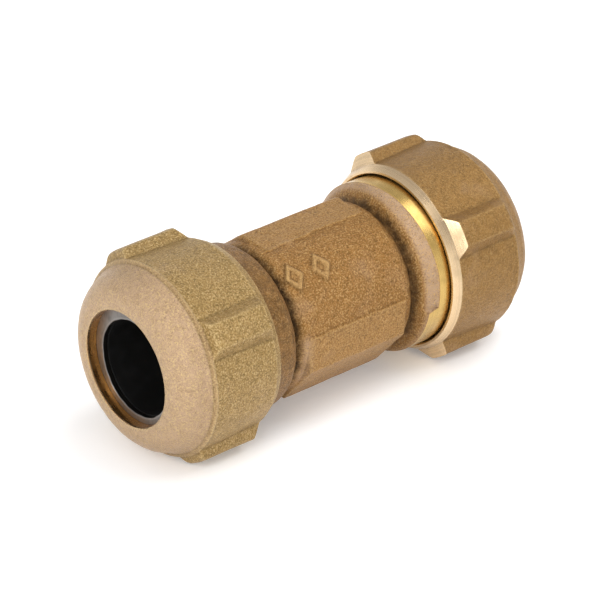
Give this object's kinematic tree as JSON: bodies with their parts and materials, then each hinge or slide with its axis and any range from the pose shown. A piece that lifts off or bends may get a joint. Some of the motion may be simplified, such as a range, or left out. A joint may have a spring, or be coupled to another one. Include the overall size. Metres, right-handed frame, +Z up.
{
  "type": "compression coupling",
  "caption": "Cast bronze compression coupling: ribbed body with a lugged screwed nut, steel washer and rubber gasket at each end, joining plain copper tubes",
  "frame": {"origin": "half way along the axis of the coupling", "axes": "+X along the tube axis towards the right nut, +Z up as the coupling lies on its side"},
  "size_m": [0.1046, 0.0462, 0.0462],
  "materials": {
    "cast_bronze": "sand-cast bronze with turned golden ends",
    "nut_bronze": "sand-cast bronze with turned mouth and back face",
    "washer_steel": "dull zinc-plated steel",
    "gasket_rubber": "matt black moulded rubber"
  },
  "bodies": {
    "body": {"coupling_body": "cast_bronze"},
    "left_seal": {"left_friction_washer": "washer_steel", "left_gasket": "gasket_rubber"},
    "left_nut": {"left_compression_nut": "nut_bronze"},
    "right_seal": {"right_friction_washer": "washer_steel", "right_gasket": "gasket_rubber"},
    "right_nut": {"right_compression_nut": "nut_bronze"}
  },
  "joints": [
    {"name": "left_seal_travel", "type": "slide", "parent": "body", "child": "left_seal", "axis": [-1, 0, 0], "range_m": [-0.00052, 0.01002]},
    {"name": "left_nut_turn", "type": "hinge", "parent": "left_seal", "child": "left_nut", "pos_m": [-0.04, 0, 0], "axis": [-1, 0, 0], "range_deg": [-90, 1800]},
    {"name": "right_seal_travel", "type": "slide", "parent": "body", "child": "right_seal", "axis": [1, 0, 0], "range_m": [-0.00052, 0.01002]},
    {"name": "right_nut_turn", "type": "hinge", "parent": "right_seal", "child": "right_nut", "pos_m": [0.04, 0, 0], "axis": [1, 0, 0], "range_deg": [-90, 1800]}
  ],
  "couplings": [
    {"joint": "left_seal_travel", "follows": "left_nut_turn", "m_per_rad": 0.00031831},
    {"joint": "right_seal_travel", "follows": "right_nut_turn", "m_per_rad": 0.00031831}
  ]
}
